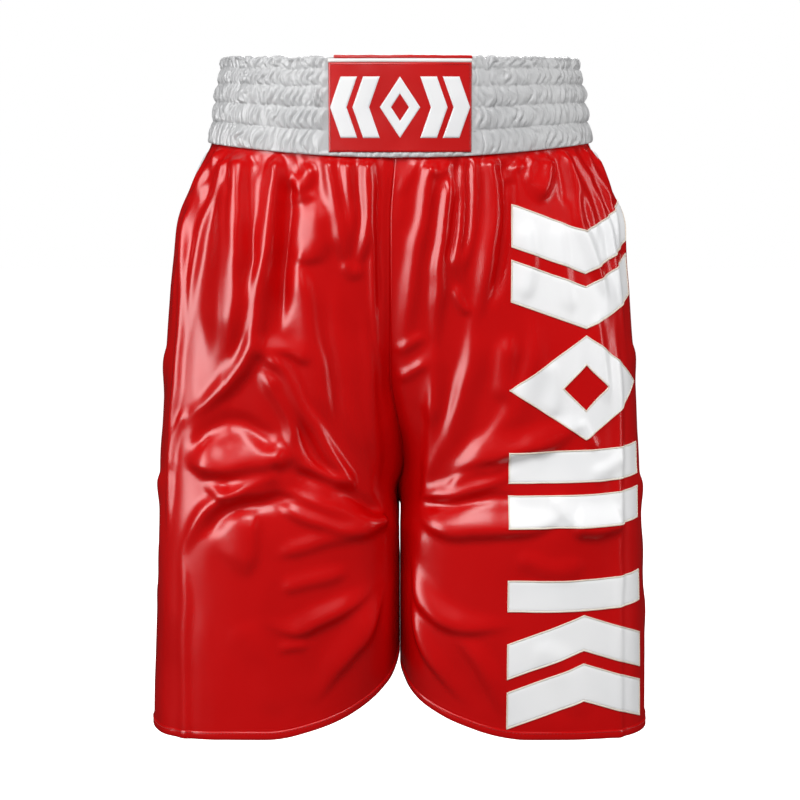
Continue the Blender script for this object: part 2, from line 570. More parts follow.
def thick_grid(name, outer, inner, material, uv, flip=False):
    """A closed sheet from two grids of points."""
    rows, columns = outer.shape[:2]
    n = rows * columns
    faces = [grid_faces(rows, columns, 0, flip), grid_faces(rows, columns, n, not flip)]
    ring = np.concatenate([np.arange(columns), np.arange(1, rows) * columns + columns - 1,
                           (rows - 1) * columns + np.arange(columns - 2, -1, -1),
                           np.arange(rows - 2, 0, -1) * columns])
    after = np.roll(ring, -1)
    rim = np.stack([ring, ring + n, after + n, after], -1)
    faces.append(rim[:, ::-1] if flip else rim)
    verts = np.concatenate([outer.reshape(-1, 3), inner.reshape(-1, 3)])
    return new_mesh(name, verts, np.concatenate(faces), material, np.concatenate([uv.reshape(-1, 2)] * 2))


# ---- materials ------------------------------------------------------------------------------
def set_inputs(node, **values):
    """Sets a node's own sockets; an underscore stands for a space in a socket's name."""
    for key, value in values.items():
        node.inputs[key.replace("_", " ")].default_value = value
    return node


def satin(name, colour, dark, roughness, weave=0.00035, bump=0.05, specular=0.5, sheen=0.15, uv=True):
    """Woven satin: a fine slanting float pattern, slow colour drift and slightly uneven gloss.

    Where roughness passes through 0.27 to 0.28 a faint line shows in the picture, so the glossy satins'
    ranges stay on one side of that."""
    m = bpy.data.materials.new(name)
    m.use_nodes = True
    nodes, links = m.node_tree.nodes, m.node_tree.links
    shader = nodes["Principled BSDF"]
    coords = nodes.new("ShaderNodeTexCoord")
    where = coords.outputs["UV" if uv else "Object"]
    slow = set_inputs(nodes.new("ShaderNodeTexNoise"), Scale=9.0, Detail=3.0)
    links.new(coords.outputs["Object"], slow.inputs["Vector"])
    mix = nodes.new("ShaderNodeMix")
    mix.data_type = "RGBA"
    mix.inputs[6].default_value = (*dark, 1)
    mix.inputs[7].default_value = (*colour, 1)
    spread = set_inputs(nodes.new("ShaderNodeMapRange"), From_Min=0.3, From_Max=0.62)
    spread.interpolation_type = "SMOOTHERSTEP"
    links.new(slow.outputs["Fac"], spread.inputs["Value"])
    links.new(spread.outputs["Result"], mix.inputs[0])
    links.new(mix.outputs[2], shader.inputs["Base Color"])
    gloss = set_inputs(nodes.new("ShaderNodeMapRange"), To_Min=roughness - 0.025, To_Max=roughness + 0.03)
    gloss.interpolation_type = "SMOOTHERSTEP"
    links.new(slow.outputs["Fac"], gloss.inputs["Value"])
    links.new(gloss.outputs["Result"], shader.inputs["Roughness"])
    threads = set_inputs(nodes.new("ShaderNodeTexWave"), Scale=0.3 / weave, Distortion=2.0, Detail=1.0)
    threads.bands_direction = "DIAGONAL"
    links.new(where, threads.inputs["Vector"])
    slub = set_inputs(nodes.new("ShaderNodeTexNoise"), Scale=420.0)
    stretch = set_inputs(nodes.new("ShaderNodeMapping"), Scale=(1.0, 0.12, 1.0))
    links.new(where, stretch.inputs["Vector"])
    links.new(stretch.outputs["Vector"], slub.inputs["Vector"])
    add = nodes.new("ShaderNodeMath")
    links.new(threads.outputs["Fac"], add.inputs[0])
    links.new(slub.outputs["Fac"], add.inputs[1])
    raised = set_inputs(nodes.new("ShaderNodeBump"), Strength=bump, Distance=0.0004)
    links.new(add.outputs["Value"], raised.inputs["Height"])
    links.new(raised.outputs["Normal"], shader.inputs["Normal"])
    set_inputs(shader, Specular_IOR_Level=specular, Sheen_Weight=sheen, Sheen_Roughness=0.4)
    return m


RED = satin("red_satin", (0.56, 0.0006, 0.001), (0.50, 0.0005, 0.0008), 0.24, specular=0.6, sheen=0.0)
RED_PATCH = satin("patch_satin", (0.52, 0.006, 0.006), (0.46, 0.004, 0.004), 0.306, specular=0.6, sheen=0.0)
RED_THREAD = satin("red_thread", (0.34, 0.004, 0.005), (0.25, 0.002, 0.003), 0.5, bump=0.3, uv=False)
WHITE = satin("white_satin", (0.91, 0.91, 0.915), (0.86, 0.865, 0.875), 0.306, specular=0.5, sheen=0.0)
WHITE_RUCHE = satin("ruched_satin", (0.52, 0.522, 0.526), (0.48, 0.482, 0.488), 0.306, bump=0.06,
                    specular=0.55, sheen=0.0)
THREAD = satin("white_thread", (0.62, 0.62, 0.62), (0.52, 0.52, 0.52), 0.5, bump=0.3, uv=False)
CREAM = satin("cream_thread", (0.86, 0.78, 0.66), (0.78, 0.66, 0.54), 0.5, bump=0.4, uv=False)
ELASTIC = satin("elastic_knit", (0.82, 0.82, 0.8), (0.7, 0.7, 0.68), 0.75, weave=0.0009, bump=0.5,
                specular=0.2)
PRINT = satin("patch_print", (0.80, 0.80, 0.80), (0.74, 0.74, 0.75), 0.38)
CREAM_SATIN = satin("piping_satin", (0.84, 0.82, 0.80), (0.76, 0.73, 0.70), 0.4)
LINING = satin("lining_cotton", (0.80, 0.79, 0.76), (0.72, 0.71, 0.68), 0.8, weave=0.0006, bump=0.3,
               specular=0.2)


# ---- body panels and hems -------------------------------------------------------------------
pieces = []  # (object, how it moves, CAD nodes it stands for, record slot)
HIPS = ("ride", "hips")
HALF_NAME = {True: "front", False: "back"}
HEM = 8.0  # depth of the folded hem
CLOTH = 0.7  # thickness of the body satin
PANEL_COLUMNS, PANEL_ROWS = 150, 215


def panel(side, front):
    skin = SKINS[side, front]
    half, name = HALF_NAME[front], SIDE_NAME[side]
    s = np.linspace(0, 1, PANEL_COLUMNS)[None, :]
    t = np.linspace(0, 1, PANEL_ROWS)[:, None] ** 1.12
    low_z = hem_z(s, side, front) + HEM * 0.5
    q = np.zeros((PANEL_ROWS, PANEL_COLUMNS))
    z = np.zeros_like(q)
    for _ in range(3):
        top = seam_z(q) + 2.0
        z = top + (low_z - top) * t
        low, high = skin.limits(z)
        q = low + (high - low) * s
    outer, inner = skin.at(q, z), skin.at(q, z, -CLOTH)
    uv = np.stack([q * MM, z * MM], -1)
    obj = thick_grid(f"panel_{half}_{name}", outer, inner, RED, uv, flip=(side == LEFT) == front)
    nodes = [f"{half}_panel_{name}_upper", f"{half}_panel_{name}_leg"]
    pieces.append((obj, ("blend", side), nodes, "body_satin"))
    return obj


def hem(side, front):
    skin = SKINS[side, front]
    half, name = HALF_NAME[front], SIDE_NAME[side]
    s = np.linspace(0, 1, PANEL_COLUMNS)
    section = [(HEM, 0.25), (HEM - 0.8, 0.85), (HEM * 0.55, 1.0), (1.2, 0.95), (0.2, 0.4), (0, -0.4),
               (0.3, -1.2), (1.4, -1.7), (HEM * 0.6, -1.7), (HEM, -1.5), (HEM + 0.4, -0.8)]
    ring = []
    for up, off in section:
        z = hem_z(s, side, front) + up
        low, high = skin.limits(z)
        ring.append(skin.at(low + (high - low) * s, z, off))
    points = np.stack(ring)  # section by column
    k, columns = points.shape[:2]
    faces = ring_faces(k, columns, closed=False)
    if (side == LEFT) != front:
        faces = faces[:, ::-1]
    end = np.arange(k) * columns
    faces = faces.tolist() + [end.tolist(), (end[::-1] + columns - 1).tolist()]
    uv = np.stack(np.broadcast_arrays(s[None, :] * 0.35, np.arange(k)[:, None] * 0.002), -1)
    obj = new_mesh(f"hem_roll_{half}_{name}", points.reshape(-1, 3), faces, RED, uv.reshape(-1, 2))
    pieces.append((obj, ("blend", side), [f"hem_{half}_{name}"], "hem_satin"))


def rise_seam(front):
    """The turned-in edges of the centre seam, from the waist to the crotch."""
    skin = SKINS[LEFT, front]
    z = np.linspace(seam_z(0.0) - 0.5, CROTCH + 1, 120)
    low, _ = skin.limits(z)
    top = skin.at(low, z)
    way = 1 if front else -1  # towards the inside
    section = ((-0.4, 0.1), (-0.55, 4), (-0.9, 9), (0.9, 9), (0.55, 4), (0.4, 0.1))
    points = np.stack([np.stack([top[:, 0] + x, top[:, 1] + way * depth, z], -1) for x, depth in section])
    outer, inner = points[:3], points[:2:-1]
    uv = np.stack(np.broadcast_arrays(np.array([0, 4, 9])[:, None] * MM, z[None, :] * MM), -1)
    obj = thick_grid(f"rise_seam_{HALF_NAME[front]}", outer, inner, RED, uv, flip=front)
    pieces.append((obj, HIPS, [], "body_satin"))


def capsules(name, path, out, material, how, slot, pitch=3.1, length=2.3, radius=0.27):
    """A row of stitches: path and out are points along the seam and the directions away from the cloth."""
    run = np.concatenate([[0], np.cumsum(np.linalg.norm(np.diff(path, axis=0), axis=1))])
    verts, faces = [], []
    along = np.array([-0.5, -0.36, 0, 0.36, 0.5]) * length
    size = np.array([0.15, 0.8, 1.0, 0.8, 0.15]) * radius
    sink = np.array([-0.5, 0.0, 0.25, 0.0, -0.5]) * radius
    turn = np.arange(6) * np.pi / 3
    for d in np.arange(pitch / 2, run[-1] - pitch / 2, pitch):
        p = np.array([np.interp(d, run, path[:, k]) for k in range(3)])
        ahead = np.array([np.interp(d + 0.8, run, path[:, k]) for k in range(3)]) - p
        t = ahead / np.linalg.norm(ahead)
        n = np.array([np.interp(d, run, out[:, k]) for k in range(3)])
        n -= t * np.dot(n, t)
        n /= np.linalg.norm(n)
        b = np.cross(t, n)
        first = sum(len(v) for v in verts)
        ring = (p + t * along[:, None, None] + n * (sink[:, None] + size[:, None] * np.cos(turn))[..., None]
                + b * (size[:, None] * np.sin(turn))[..., None])
        verts.append(ring.reshape(-1, 3))
        faces += grid_faces(5, 6, first, closed=True).tolist()
        faces += [[first + k for k in range(6)], [first + 24 + k for k in range(5, -1, -1)]]
    pieces.append((new_mesh(name, np.concatenate(verts), faces, material), how, [], slot))


def hem_stitches(side, front):
    skin = SKINS[side, front]
    s = np.linspace(0.01, 0.99, 260)
    z = hem_z(s, side, front) + HEM - 1.6
    low, high = skin.limits(z)
    q = low + (high - low) * s
    path, far = skin.at(q, z, 0.95), skin.at(q, z, 3.0)
    apart = side * path[:, 0] > LEGS_APART
    capsules(f"hem_stitches_{HALF_NAME[front]}_{SIDE_NAME[side]}", path[apart], (far - path)[apart],
             RED_THREAD, ("blend", side), "hem_satin")


panels = {key: panel(*key) for key in SKINS}
for key in SKINS:
    hem(*key)
    hem_stitches(*key)
rise_seam(True)
rise_seam(False)


# ---- waistband ------------------------------------------------------------------------------
BAND_COLUMNS = 1400
ROW_EDGES = np.array([0.0, 0.126, 0.305, 0.516, 0.747, 1.0])  # the elastic rows, as shares of the height
PATCH_HALF, PATCH_TOP, PATCH_LOW = 60.5, -4.4, -80.5
BAND_N = 2.1  # how boxy the band's ring is; 2 is an ellipse
BAND_MIDDLE = -44  # height where distances round the band are measured
PUFF = 2.3  # the gathered satin's face outside the ring, before its puffs
PATCH_OFF, PATCH_THICK = 3.9, 1.3  # the patch's back outside the ring, and its thickness


def band_turns():
    """Angles equally spaced round the band, and the distance round it from the front centre."""
    t = np.linspace(-np.pi, np.pi, 8001)
    b = np.where(np.cos(t) > 0, front_depth(BAND_MIDDLE), back_depth(BAND_MIDDLE))
    x, y = half_width(BAND_MIDDLE) * power(np.sin(t), BAND_N), -b * power(np.cos(t), BAND_N)
    arc = np.concatenate([[0], np.cumsum(np.hypot(np.diff(x), np.diff(y)))])
    s = np.linspace(0, arc[-1], BAND_COLUMNS, endpoint=False)
    return np.interp(s, arc, t), s - arc[-1] / 2, arc[-1]


BAND_T, BAND_S, BAND_ROUND = band_turns()


def band_seam(s):
    """The waist seam's height on the band, s round it from the front centre: low at front and back."""
    return seam_z(np.minimum(np.abs(s), BAND_ROUND / 2 - np.abs(s)))


def band_at(t, z, off):
    """Points on the waistband's ring: angle t from the front centre, towards the wearer's left."""
    t, z, off = np.broadcast_arrays(np.asarray(t, float), np.asarray(z, float), np.asarray(off, float))
    a = half_width(z)
    b = np.where(np.cos(t) > 0, front_depth(z), back_depth(z))
    x, y = a * power(np.sin(t), BAND_N), -b * power(np.cos(t), BAND_N)
    nx, ny = np.sign(x) * np.abs(x / a) ** (BAND_N - 1) / a, np.sign(y) * np.abs(y / b) ** (BAND_N - 1) / b
    l = np.hypot(nx, ny)
    return np.stack([x + nx / l * off, y + ny / l * off, z + 0 * x], -1)


def band_angle(x, z):
    return np.arcsin(np.clip(power(np.asarray(x, float) / half_width(z), 4.0 / BAND_N), -1, 1))


def front_at(x, z, off):
    """Points in front of the band's ring, x to the wearer's left of the centre plane."""
    return band_at(band_angle(x, z), z, off)


def ruche(v, s):
    """How far the gathered satin puffs out; v runs down the band, s round it."""
    row = np.clip(np.searchsorted(ROW_EDGES, v, side="right") - 1, 0, BAND_ROWS - 1)
    f = np.clip((v - ROW_EDGES[row]) / (ROW_EDGES[row + 1] - ROW_EDGES[row]), 0, 1)
    belly = np.sin(np.pi * f) ** 0.6
    bend = 0.42 * np.sin(np.pi * f) * np.where(s < 0, 1, -1) * (0.6 + 0.6 * noise1(s / 40.0 + 7 * row, 23))
    snake = 0.22 * np.sin(2 * np.pi * f) * noise1(s / 22.0 + 11 * row, 29)
    phase = s / 8.6 + 0.6 * noise1(s / 31.0 + 3, 1) + 0.4 * noise2(s / 12.0 + 9, row * 3.7 + f * 1.1, 2)
    phase = phase + bend + snake
    hills = np.abs(np.cos(np.pi * phase)) ** 0.8
    fine = s / 4.1 + 0.9 * noise2(s / 9.0 + 40, row * 4.1 + f * 1.4, 12) + 1.6 * bend
    small = np.abs(np.cos(np.pi * fine))
    size = np.clip(0.9 + 0.5 * noise2(s / 8.0 + 13 * row, row * 5.1 + f * 0.5, 3), 0.25, 1.6)
    depth = np.array([0.75, 0.95, 1.05, 1.1, 0.95])[row]
    puff = belly * depth * (0.9 + 2.5 * hills * size + 0.75 * small * size)
    return puff + (1 - belly) * (0.9 * hills + 0.35 * small)


def loop_mesh(name, sections, material, slot_name, node):
    """A ring with a closed section: sections is (rows, columns, 3), closed both ways."""
    rows, columns = sections.shape[:2]
    closed = np.concatenate([sections, sections[:1]])
    faces = ring_faces(rows, columns)
    run = np.concatenate([[0], np.cumsum(np.linalg.norm(np.diff(closed[:, 0], axis=0), axis=1))])[:rows]
    round_band = np.linspace(0, BAND_ROUND, columns)
    uv = np.stack(np.broadcast_arrays(round_band[None, :] * MM, run[:, None] * MM), -1)
    obj = new_mesh(name, sections.reshape(-1, 3), faces, material, uv.reshape(-1, 2))
    pieces.append((obj, HIPS, [node], slot_name))


def casing():
    s, t = BAND_S[None, :], BAND_T[None, :]
    low = band_seam(s) + 0.6
    top = 0.5 + 1.0 * ramp(np.abs(s), 60, 220) + 1.1 * noise1(s / 5.5, 15)
    v = np.linspace(0, 1, 84)[:, None]
    under_patch = 1 - ramp(np.abs(s), PATCH_HALF, PATCH_HALF + 7)
    under_patch = under_patch * ramp(top + (low - top) * v, PATCH_LOW - 1.5, PATCH_LOW + 1)
    out = ruche(*np.broadcast_arrays(v, s))
    out = PUFF + out * (1 - 0.9 * under_patch) + 0.6 * under_patch * ramp(v, 0.02, 0.1)
    frill = 1.5 * (1 - under_patch[:1]) * (1 - ramp(v, 0.0, 0.05)) * (0.5 + 0.9 * noise1(s / 4.5, 19))
    outer = band_at(t, top + (low - top) * v, out + frill)
    hem_in = [band_at(t, low - 0.2, 1.9), band_at(t, low + 1.5, 1.2)]
    back_v = np.linspace(0.96, 0.05, 12)[:, None]
    inner = band_at(t, top + (low - top) * back_v, 1.1)
    turn = ((-2.6, 0.2), (-2.8, -1.4), (-3.4, -2.6), (-3.2, -3.4), (-1.6, -3.6), (-0.4, -3.0), (0.1, -1.6),
            (0.2, 0.0), (0.2, 1.4))
    fold = [band_at(t, top + d, o) for d, o in turn]
    sections = np.concatenate([outer, *hem_in, inner, *fold])
    loop_mesh("ruched_waistband", sections, WHITE_RUCHE, "ruched_satin", "waistband_casing")


def lining():
    t, s = BAND_T[None, ::2], BAND_S[None, ::2]
    v = np.linspace(0, 1, 60)[:, None]
    z = -3.2 + (band_seam(s) + 3.2) * v
    pucker = 0.5 * np.abs(np.cos(np.pi * (s / 10.5 + 0.75 * noise1(s / 34.0 + 3, 1))))
    pucker = pucker * (0.4 + np.sin(np.pi * v * BAND_ROWS) ** 2)
    outside = band_at(t, z, -1.15 + 0 * v)
    inside = band_at(t, z, -1.9 - pucker)[::-1]
    loop_mesh("waist_lining", np.concatenate([outside, inside]), LINING, "lining", "waistband_lining")


def elastics():
    for row in range(BAND_ROWS):
        t = BAND_T[None, ::2]
        low = band_seam(BAND_S[None, ::2])
        mid = (ROW_EDGES[row] + ROW_EDGES[row + 1]) / 2 * low
        tall = (ROW_EDGES[row + 1] - ROW_EDGES[row]) * -low * 0.42
        v = np.linspace(-1, 1, 29)[:, None]
        rib = 0.16 * np.cos(v * 13 * np.pi)
        z = mid + tall * v + 0 * t
        rings = np.concatenate([band_at(t, z, 0.45 + rib), band_at(t, z, -0.65 - rib)[::-1]])
        loop_mesh(f"ribbed_elastic_{row + 1}", rings, ELASTIC, "elastic", f"elastic_band_{row + 1}")


def closed_tile(name, place, width, height, thick, material, slot_name, nodes, columns, rows, edge):
    """A flat sewn piece with a rounded edge. place(a, b, off) maps a across and b down, 0..1, to a point."""
    a = np.linspace(0, 1, columns)[None, :] + np.zeros((rows, 1))
    b = np.linspace(0, 1, rows)[:, None] + np.zeros((1, columns))
    from_edge = np.minimum(np.minimum(a, 1 - a) * width, np.minimum(b, 1 - b) * height)
    outer = place(a, b, thick * (0.35 + 0.65 * rounded(from_edge, edge)))
    inner = place(a, b, np.zeros_like(a))
    uv = np.stack([a * width * MM, b * height * MM], -1)
    pieces.append((thick_grid(name, outer, inner, material, uv, flip=True), HIPS, nodes, slot_name))


def patch_waves(x, z):
    return 0.5 * noise2(x / 26.0 + 50, z / 22.0 + 50, 77)


def patch():
    def place(a, b, off):
        x = (2 * a - 1) * PATCH_HALF
        z = PATCH_TOP + (PATCH_LOW - PATCH_TOP) * b
        pillow = 0.5 * (np.sin(np.pi * a) * np.sin(np.pi * b)) ** 0.5 + patch_waves(x, z)
        return front_at(x, z, PATCH_OFF + off + np.where(off > 0.5, pillow, 0))

    closed_tile("waist_patch", place, 2 * PATCH_HALF, PATCH_TOP - PATCH_LOW, PATCH_THICK, RED_PATCH,
                "patch_satin", ["front_patch"], 120, 80, 1.2)

    piping_half, piping_top, piping_low = PATCH_HALF + 0.6, -0.9, -4.6

    def place_piping(a, b, off):
        x = (2 * a - 1) * piping_half
        z = piping_top + (piping_low - piping_top) * b
        return front_at(x, z, 3.4 + off + 0.5 * np.sin(np.pi * b))

    closed_tile("patch_piping_cord", place_piping, 2 * PATCH_HALF + 1.2, 3.7, 1.5, CREAM_SATIN,
                "ruched_satin", ["patch_piping"], 90, 10, 1.4)

    # the patch's top edge, folded over the rim to the inside
    x = np.linspace(-56, 61, 100)[None, :]

    def along_rim(section):
        rows = [band_at(band_angle(x, -2), z + 0.15 * noise1(x / 9, 5), o) for z, o in section]
        return np.concatenate(rows)

    path = [(-0.9, 4.4), (0.4, 4.6), (1.5, 3.8), (2.0, 2.2), (2.1, 0.0), (2.0, -2.4), (1.2, -3.9),
            (-0.6, -4.3), (-3.6, -4.2), (-7.0, -3.9)]
    under = [(-0.9, 3.7), (0.2, 3.9), (0.9, 3.3), (1.2, 2.0), (1.3, 0.0), (1.2, -2.0), (0.7, -3.3),
             (-0.8, -3.75), (-3.6, -3.7), (-7.0, -3.4)]
    uv = np.stack(np.broadcast_arrays(x * MM, np.arange(len(path))[:, None] * 0.002), -1)
    obj = thick_grid("patch_rim_fold", along_rim(path), along_rim(under), RED_PATCH, uv)
    pieces.append((obj, HIPS, ["patch_top_fold"], "patch_satin"))


LEFT_LEG = ("blend", LEFT)
APPLIED, PRINTED, SUNK = 0.45, 0.7, 0.15  # how far shapes stand up on leg and patch, and sink in
ON_PATCH, ON_LEG = (PRINT, HIPS, "patch_print", PRINTED), (WHITE, LEFT_LEG, "applied_satin", APPLIED)


def emblem():
    mid = (PATCH_TOP + PATCH_LOW) / 2

    def surface(x, z, off):
        across = np.cos(np.pi * x / 2 / PATCH_HALF)
        pillow = 0.5 * (across * np.cos(np.pi * (z - mid) / (PATCH_TOP - PATCH_LOW))) ** 0.5
        return front_at(x, z, 5.15 + off + pillow + patch_waves(x, z))  # a hair into the patch's face

    lozenge("emblem_lozenge", surface, (0, mid), (17, 26), (7.5, 11.5), "patch_lozenge", ON_PATCH)
    for i, (way, x0) in enumerate(((-1, 17), (-1, 36), (1, 17), (1, 36))):
        line = [(way * x0, mid + 26), (way * (x0 + 9), mid), (way * x0, mid - 26)]
        swept(f"emblem_chevron_{i + 1}", surface, line, (way * 14, 0), f"patch_chevron_{i + 1}", ON_PATCH)


def faces_out(surface, x, z, a, b, c):
    """Whether the normal of the corner a, b, c points away from the cloth."""
    out = surface(x, z, np.full_like(x, 5.0))[0, 0] - a
    return bool(np.dot(np.cross(b - a, c - a), out) > 0)


def raised_grids(surface, x, z, thick, edge, radius=0.6):
    """A shape's outer and inner points; edge is the distance in from its rounded rim."""
    outer = surface(x, z, thick * (0.2 + 0.8 * rounded(edge, radius)))
    return outer, surface(x, z, np.full_like(x, -SUNK))


def swept(name, surface, line, sweep, node, made, step=1.6, across=14):
    """A flat shape swept along a broken line, every point moved by `sweep` for its other edge."""
    material, how, slot_name, thick = made
    line = np.array(line, float)
    pts = []
    for a, b in zip(line[:-1], line[1:]):
        n = max(4, int(np.hypot(*(b - a)) / step))
        pts.append(a + (b - a) * np.linspace(0, 1, n, endpoint=False)[:, None])
    pts = np.concatenate(pts + [line[-1:]])
    b = np.linspace(0, 1, across)[:, None]
    x = pts[None, :, 0] + sweep[0] * b
    z = pts[None, :, 1] + sweep[1] * b
    run = np.concatenate([[0], np.cumsum(np.hypot(*np.diff(pts, axis=0).T))])[None, :]
    width = math.hypot(*sweep)
    edge = np.minimum(np.minimum(run, run[0, -1] - run), np.minimum(b, 1 - b) * width)
    outer, inner = raised_grids(surface, x, z, thick, edge)
    uv = np.stack([x * MM, z * MM], -1)
    flip = faces_out(surface, x, z, outer[0, 0], outer[0, -1], outer[-1, 0])
    pieces.append((thick_grid(name, outer, inner, material, uv, flip), how, [node], slot_name))


def lozenge(name, surface, centre, outer_half, inner_half, node, made, count=30, across=12):
    """A lozenge with a lozenge hole."""
    material, how, slot_name, thick = made
    corner = np.array([(1, 0), (0, 1), (-1, 0), (0, -1), (1, 0)], float)
    share = np.linspace(0, 1, count, endpoint=False)[:, None]
    turn = np.concatenate([corner[i] + (corner[i + 1] - corner[i]) * share for i in range(4)])
    b = np.linspace(0, 1, across)[:, None]
    hx = outer_half[0] + (inner_half[0] - outer_half[0]) * b
    hz = outer_half[1] + (inner_half[1] - outer_half[1]) * b
    x, z = centre[0] + turn[None, :, 0] * hx, centre[1] + turn[None, :, 1] * hz
    width = min(outer_half[0] - inner_half[0], outer_half[1] - inner_half[1])
    outer, inner = raised_grids(surface, x, z, thick, np.minimum(b, 1 - b) * width)
    rings = np.concatenate([outer, inner[::-1]])
    faces = ring_faces(*rings.shape[:2])
    if faces_out(surface, x, z, outer[0, 0], outer[0, 1], outer[1, 0]):
        faces = faces[:, ::-1]
    flat = np.stack([x, z], -1)
    uv = np.concatenate([flat, flat[::-1]]).reshape(-1, 2) * MM
    pieces.append((new_mesh(name, rings.reshape(-1, 3), faces, material, uv), how, [node], slot_name))


THREAD_PITCH = 1.3  # spacing of the slanting threads round an applied shape


def border(name, surface, corners, width=1.3, height=0.5):
    """A satin-stitched edge round a shape on the leg: a low rounded cord of slanting threads."""
    corners = np.array(corners, float)
    area = np.sum(corners[:, 0] * np.roll(corners[:, 1], -1) - np.roll(corners[:, 0], -1) * corners[:, 1])
    if area < 0:
        corners = corners[::-1]
    edge = np.roll(corners, -1, axis=0) - corners
    edge /= np.linalg.norm(edge, axis=1)[:, None]
    side_way = np.stack([edge[:, 1], -edge[:, 0]], -1)
    mitre = side_way + np.roll(side_way, 1, axis=0)
    mitre /= (mitre * side_way).sum(1)[:, None]  # as long as it takes to meet at the corner
    points, ways = [], []
    for i, corner in enumerate(corners):
        j = (i + 1) % len(corners)
        n = max(3, int(np.linalg.norm(corners[j] - corner) / THREAD_PITCH))
        t = np.linspace(0, 1, n, endpoint=False)[:, None]
        points.append(corner + (corners[j] - corner) * t)
        near = np.clip(1 - np.minimum(t, 1 - t) * n * THREAD_PITCH / 3.0, 0, 1)
        ways.append(side_way[i] * (1 - near) + np.where(t < 0.5, mitre[i], mitre[j]) * near)
    points, ways = np.concatenate(points), np.concatenate(ways)
    rings = []
    foot = -APPLIED - 0.05
    for across, up in ((-0.5, foot), (-0.5, 0.12), (-0.3, 0.8), (0, 1), (0.3, 0.8), (0.5, 0.12), (0.5, foot)):
        x = points + ways * across * width
        lift = APPLIED + (height * up if up > 0 else up)
        rib = 1 + 0.16 * np.cos(np.arange(len(x)) * np.pi) * (up > 0.5)
        rings.append(surface(x[:, 0], x[:, 1], lift * rib))
    rings = np.stack(rings)
    faces = ring_faces(*rings.shape[:2])
    normal = np.cross(rings[3, 1] - rings[3, 0], rings[4, 0] - rings[3, 0])
    out = surface(points[:1, 0], points[:1, 1], np.array([6.0]))[0] - rings[3, 0]
    if np.dot(normal, out) > 0:
        faces = faces[:, ::-1]
    pieces.append((new_mesh(name, rings.reshape(-1, 3), faces, CREAM), LEFT_LEG, [], "applied_satin"))


def patch_stitches():
    x0, z0, z1 = PATCH_HALF - 1.7, PATCH_TOP - 1.7, PATCH_LOW + 1.7
    corners = [(-x0, z0), (x0, z0), (x0, z1), (-x0, z1), (-x0, z0)]
    flat = np.concatenate([np.linspace(a, b, 60) for a, b in zip(corners[:-1], corners[1:])])
    path, far = (front_at(*flat.T, off) for off in (5.25, 8.0))
    capsules("patch_stitches", path, far - path, RED_THREAD, HIPS, "patch_satin")


def band_stitches():
    """The lines that hold the elastic: one in each groove between two rows."""
    bare = np.abs(BAND_S) > PATCH_HALF + 1
    # from one side of the patch round the back to the other
    order = np.argsort(np.mod(BAND_S[bare], BAND_ROUND))
    t, s = BAND_T[bare][order], BAND_S[bare][order]
    for k, share in enumerate(ROW_EDGES[1:-1]):
        z = 0.5 + (band_seam(s) - 0.5) * share
        off = PUFF + ruche(np.full(len(s), share), s) + 0.05
        path = band_at(t, z, off)
        capsules(f"band_stitches_{k + 1}", path, band_at(t, z, off + 4) - path, THREAD, HIPS, "ruched_satin",
                 pitch=3.4, length=2.6, radius=0.3)


casing()
lining()
elastics()
patch()
emblem()
patch_stitches()
band_stitches()


# ---- applied shapes on the wearer's left leg --------------------------------------------------
PRINT_X, PRINT_W = 97.0, 138.0  # where the column starts, and its width
LOZENGE_Z = -288  # the lozenge's middle
LOZENGE_HALF, HOLE_HALF = (PRINT_W / 2, 46), (PRINT_W / 2 - 47.5, 21)


def on_skin(side, lift):
    """Maps q and z to a point just off the panels of one side, turning past the outseam to the back."""
    def surface(q, z, off):
        q, z, off = np.broadcast_arrays(np.asarray(q, float), np.asarray(z, float), np.asarray(off, float))
        _, high = SKINS[side, True].limits(z)
        front = SKINS[side, True].at(np.minimum(q, high), z, lift + off)
        over = np.maximum(q - high, 0)
        _, back_high = SKINS[side, False].limits(z)
        back = SKINS[side, False].at(back_high - over, z, lift + off)
        return np.where((q <= high)[..., None], front, back)
    return surface


def leg_shapes():
    surface = on_skin(LEFT, 0.12)
    middle, right = PRINT_X + PRINT_W / 2, PRINT_X + PRINT_W

    def strip(kind, number, top, low, dip=0):
        """A bar, or a chevron where there is a dip, with its stitched edge."""
        across = [(PRINT_X, 0), (middle, -dip), (right, 0)] if dip else [(PRINT_X, 0), (right, 0)]
        upper = [(q, top + z) for q, z in across]
        lower = [(q, low + z) for q, z in across[::-1]]
        swept(f"{kind}_{number}", surface, upper, (0, low - top), f"leg_{kind}_{number}", ON_LEG)
        border(f"{kind}_edge_{number}", surface, upper + lower)

    for k, row in enumerate(((-126, -162, 25), (-174, -210, 25), (-520, -552, -26), (-565, -599, -26))):
        strip("chevron", k + 1, *row)
    for k, row in enumerate(((-344, -372), (-384, -412), (-461, -489))):
        strip("bar", k + 1, *row)
    lozenge("lozenge", surface, (middle, LOZENGE_Z), LOZENGE_HALF, HOLE_HALF, "leg_lozenge", ON_LEG, 60, 24)
    for name, (x, z) in (("outer", LOZENGE_HALF), ("inner", HOLE_HALF)):
        corners = [(middle - x, LOZENGE_Z), (middle, LOZENGE_Z - z), (middle + x, LOZENGE_Z),
                   (middle, LOZENGE_Z + z)]
        border(f"lozenge_edge_{name}", surface, corners)


STRIPE_BEHIND, STRIPE_HALF = 15, 21  # the stripe's middle behind the outseam, and half its width


